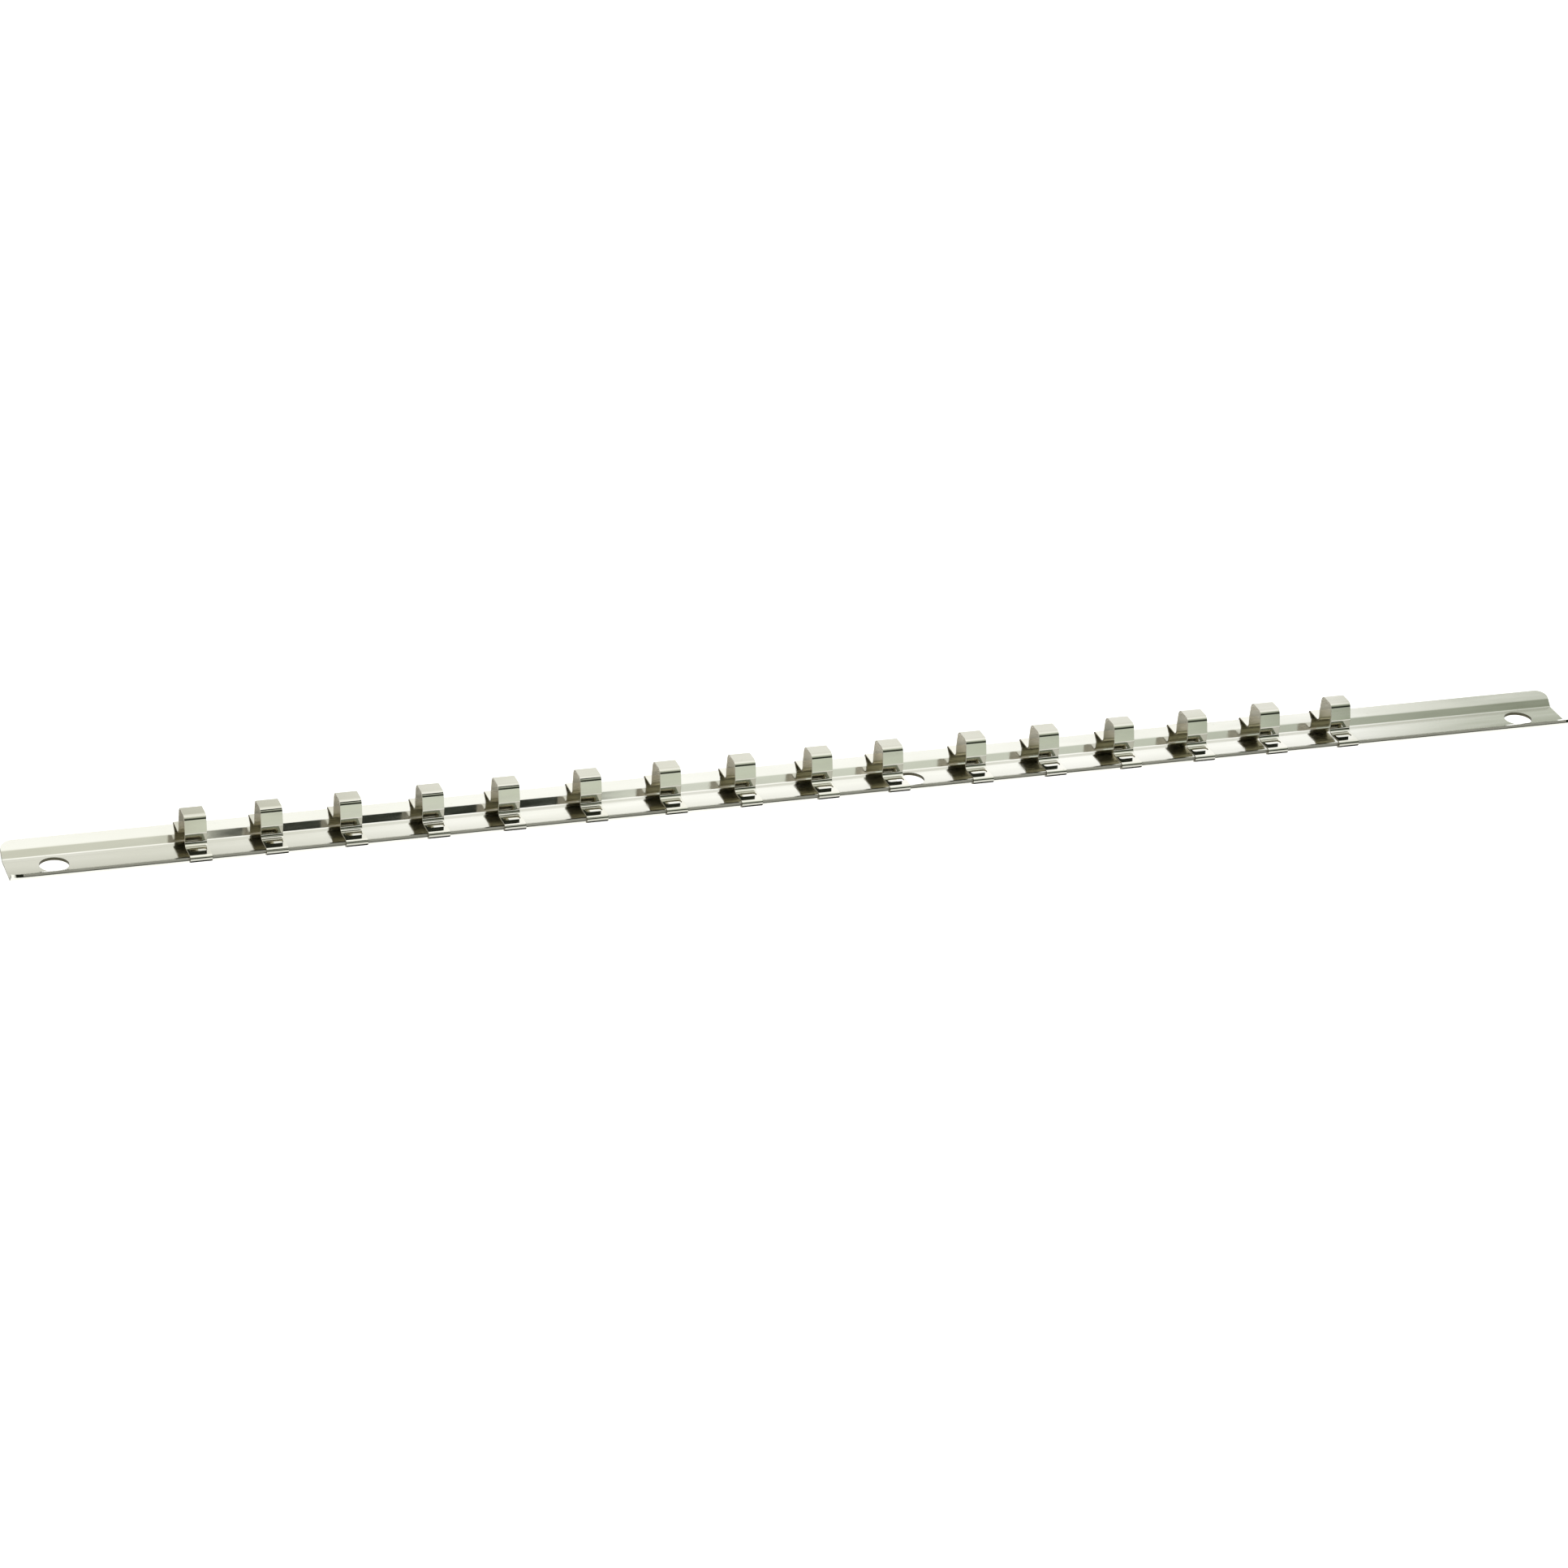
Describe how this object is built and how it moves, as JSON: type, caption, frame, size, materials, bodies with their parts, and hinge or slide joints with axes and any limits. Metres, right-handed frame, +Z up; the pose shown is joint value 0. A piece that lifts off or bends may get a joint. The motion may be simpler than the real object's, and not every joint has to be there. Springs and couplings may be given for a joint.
{
  "type": "socket rail",
  "caption": "Long pressed steel rail with upturned lips and a row of sliding bent spring clips, each with a raised head that holds a wrench socket by its square drive.",
  "frame": {"origin": "middle of the rail's length and width, on the underside of its floor", "axes": "+X along the rail, to the right in the picture; +Z up out of the channel, the way the clip heads stand; +Y to the far lip"},
  "size_m": [0.4826, 0.0236, 0.0137],
  "materials": {
    "rail": "bright plated sheet steel with fine rub marks",
    "clip": "bright plated spring steel, slightly yellow"
  },
  "bodies": {
    "rail": {"rail": "rail"},
    "clip_01": {"clip_01": "clip"},
    "clip_02": {"clip_02": "clip"},
    "clip_03": {"clip_03": "clip"},
    "clip_04": {"clip_04": "clip"},
    "clip_05": {"clip_05": "clip"},
    "clip_06": {"clip_06": "clip"},
    "clip_07": {"clip_07": "clip"},
    "clip_08": {"clip_08": "clip"},
    "clip_09": {"clip_09": "clip"},
    "clip_10": {"clip_10": "clip"},
    "clip_11": {"clip_11": "clip"},
    "clip_12": {"clip_12": "clip"},
    "clip_13": {"clip_13": "clip"},
    "clip_14": {"clip_14": "clip"},
    "clip_15": {"clip_15": "clip"},
    "clip_16": {"clip_16": "clip"}
  },
  "joints": [
    {"name": "clip_01_slide", "type": "slide", "parent": "rail", "child": "clip_01", "axis": [1, 0, 0], "range_m": [-0.0448, 0.0075]},
    {"name": "clip_02_slide", "type": "slide", "parent": "rail", "child": "clip_02", "axis": [1, 0, 0], "range_m": [-0.0075, 0.008]},
    {"name": "clip_03_slide", "type": "slide", "parent": "rail", "child": "clip_03", "axis": [1, 0, 0], "range_m": [-0.008, 0.0085]},
    {"name": "clip_04_slide", "type": "slide", "parent": "rail", "child": "clip_04", "axis": [1, 0, 0], "range_m": [-0.0085, 0.0077]},
    {"name": "clip_05_slide", "type": "slide", "parent": "rail", "child": "clip_05", "axis": [1, 0, 0], "range_m": [-0.0077, 0.0088]},
    {"name": "clip_06_slide", "type": "slide", "parent": "rail", "child": "clip_06", "axis": [1, 0, 0], "range_m": [-0.0088, 0.0085]},
    {"name": "clip_07_slide", "type": "slide", "parent": "rail", "child": "clip_07", "axis": [1, 0, 0], "range_m": [-0.0085, 0.0079]},
    {"name": "clip_08_slide", "type": "slide", "parent": "rail", "child": "clip_08", "axis": [1, 0, 0], "range_m": [-0.0079, 0.0083]},
    {"name": "clip_09_slide", "type": "slide", "parent": "rail", "child": "clip_09", "axis": [1, 0, 0], "range_m": [-0.0083, 0.0075]},
    {"name": "clip_10_slide", "type": "slide", "parent": "rail", "child": "clip_10", "axis": [1, 0, 0], "range_m": [-0.0075, 0.0096]},
    {"name": "clip_11_slide", "type": "slide", "parent": "rail", "child": "clip_11", "axis": [1, 0, 0], "range_m": [-0.0096, 0.0081]},
    {"name": "clip_12_slide", "type": "slide", "parent": "rail", "child": "clip_12", "axis": [1, 0, 0], "range_m": [-0.0081, 0.0085]},
    {"name": "clip_13_slide", "type": "slide", "parent": "rail", "child": "clip_13", "axis": [1, 0, 0], "range_m": [-0.0085, 0.0083]},
    {"name": "clip_14_slide", "type": "slide", "parent": "rail", "child": "clip_14", "axis": [1, 0, 0], "range_m": [-0.0083, 0.0083]},
    {"name": "clip_15_slide", "type": "slide", "parent": "rail", "child": "clip_15", "axis": [1, 0, 0], "range_m": [-0.0083, 0.0081]},
    {"name": "clip_16_slide", "type": "slide", "parent": "rail", "child": "clip_16", "axis": [1, 0, 0], "range_m": [-0.0081, 0.0676]}
  ]
}
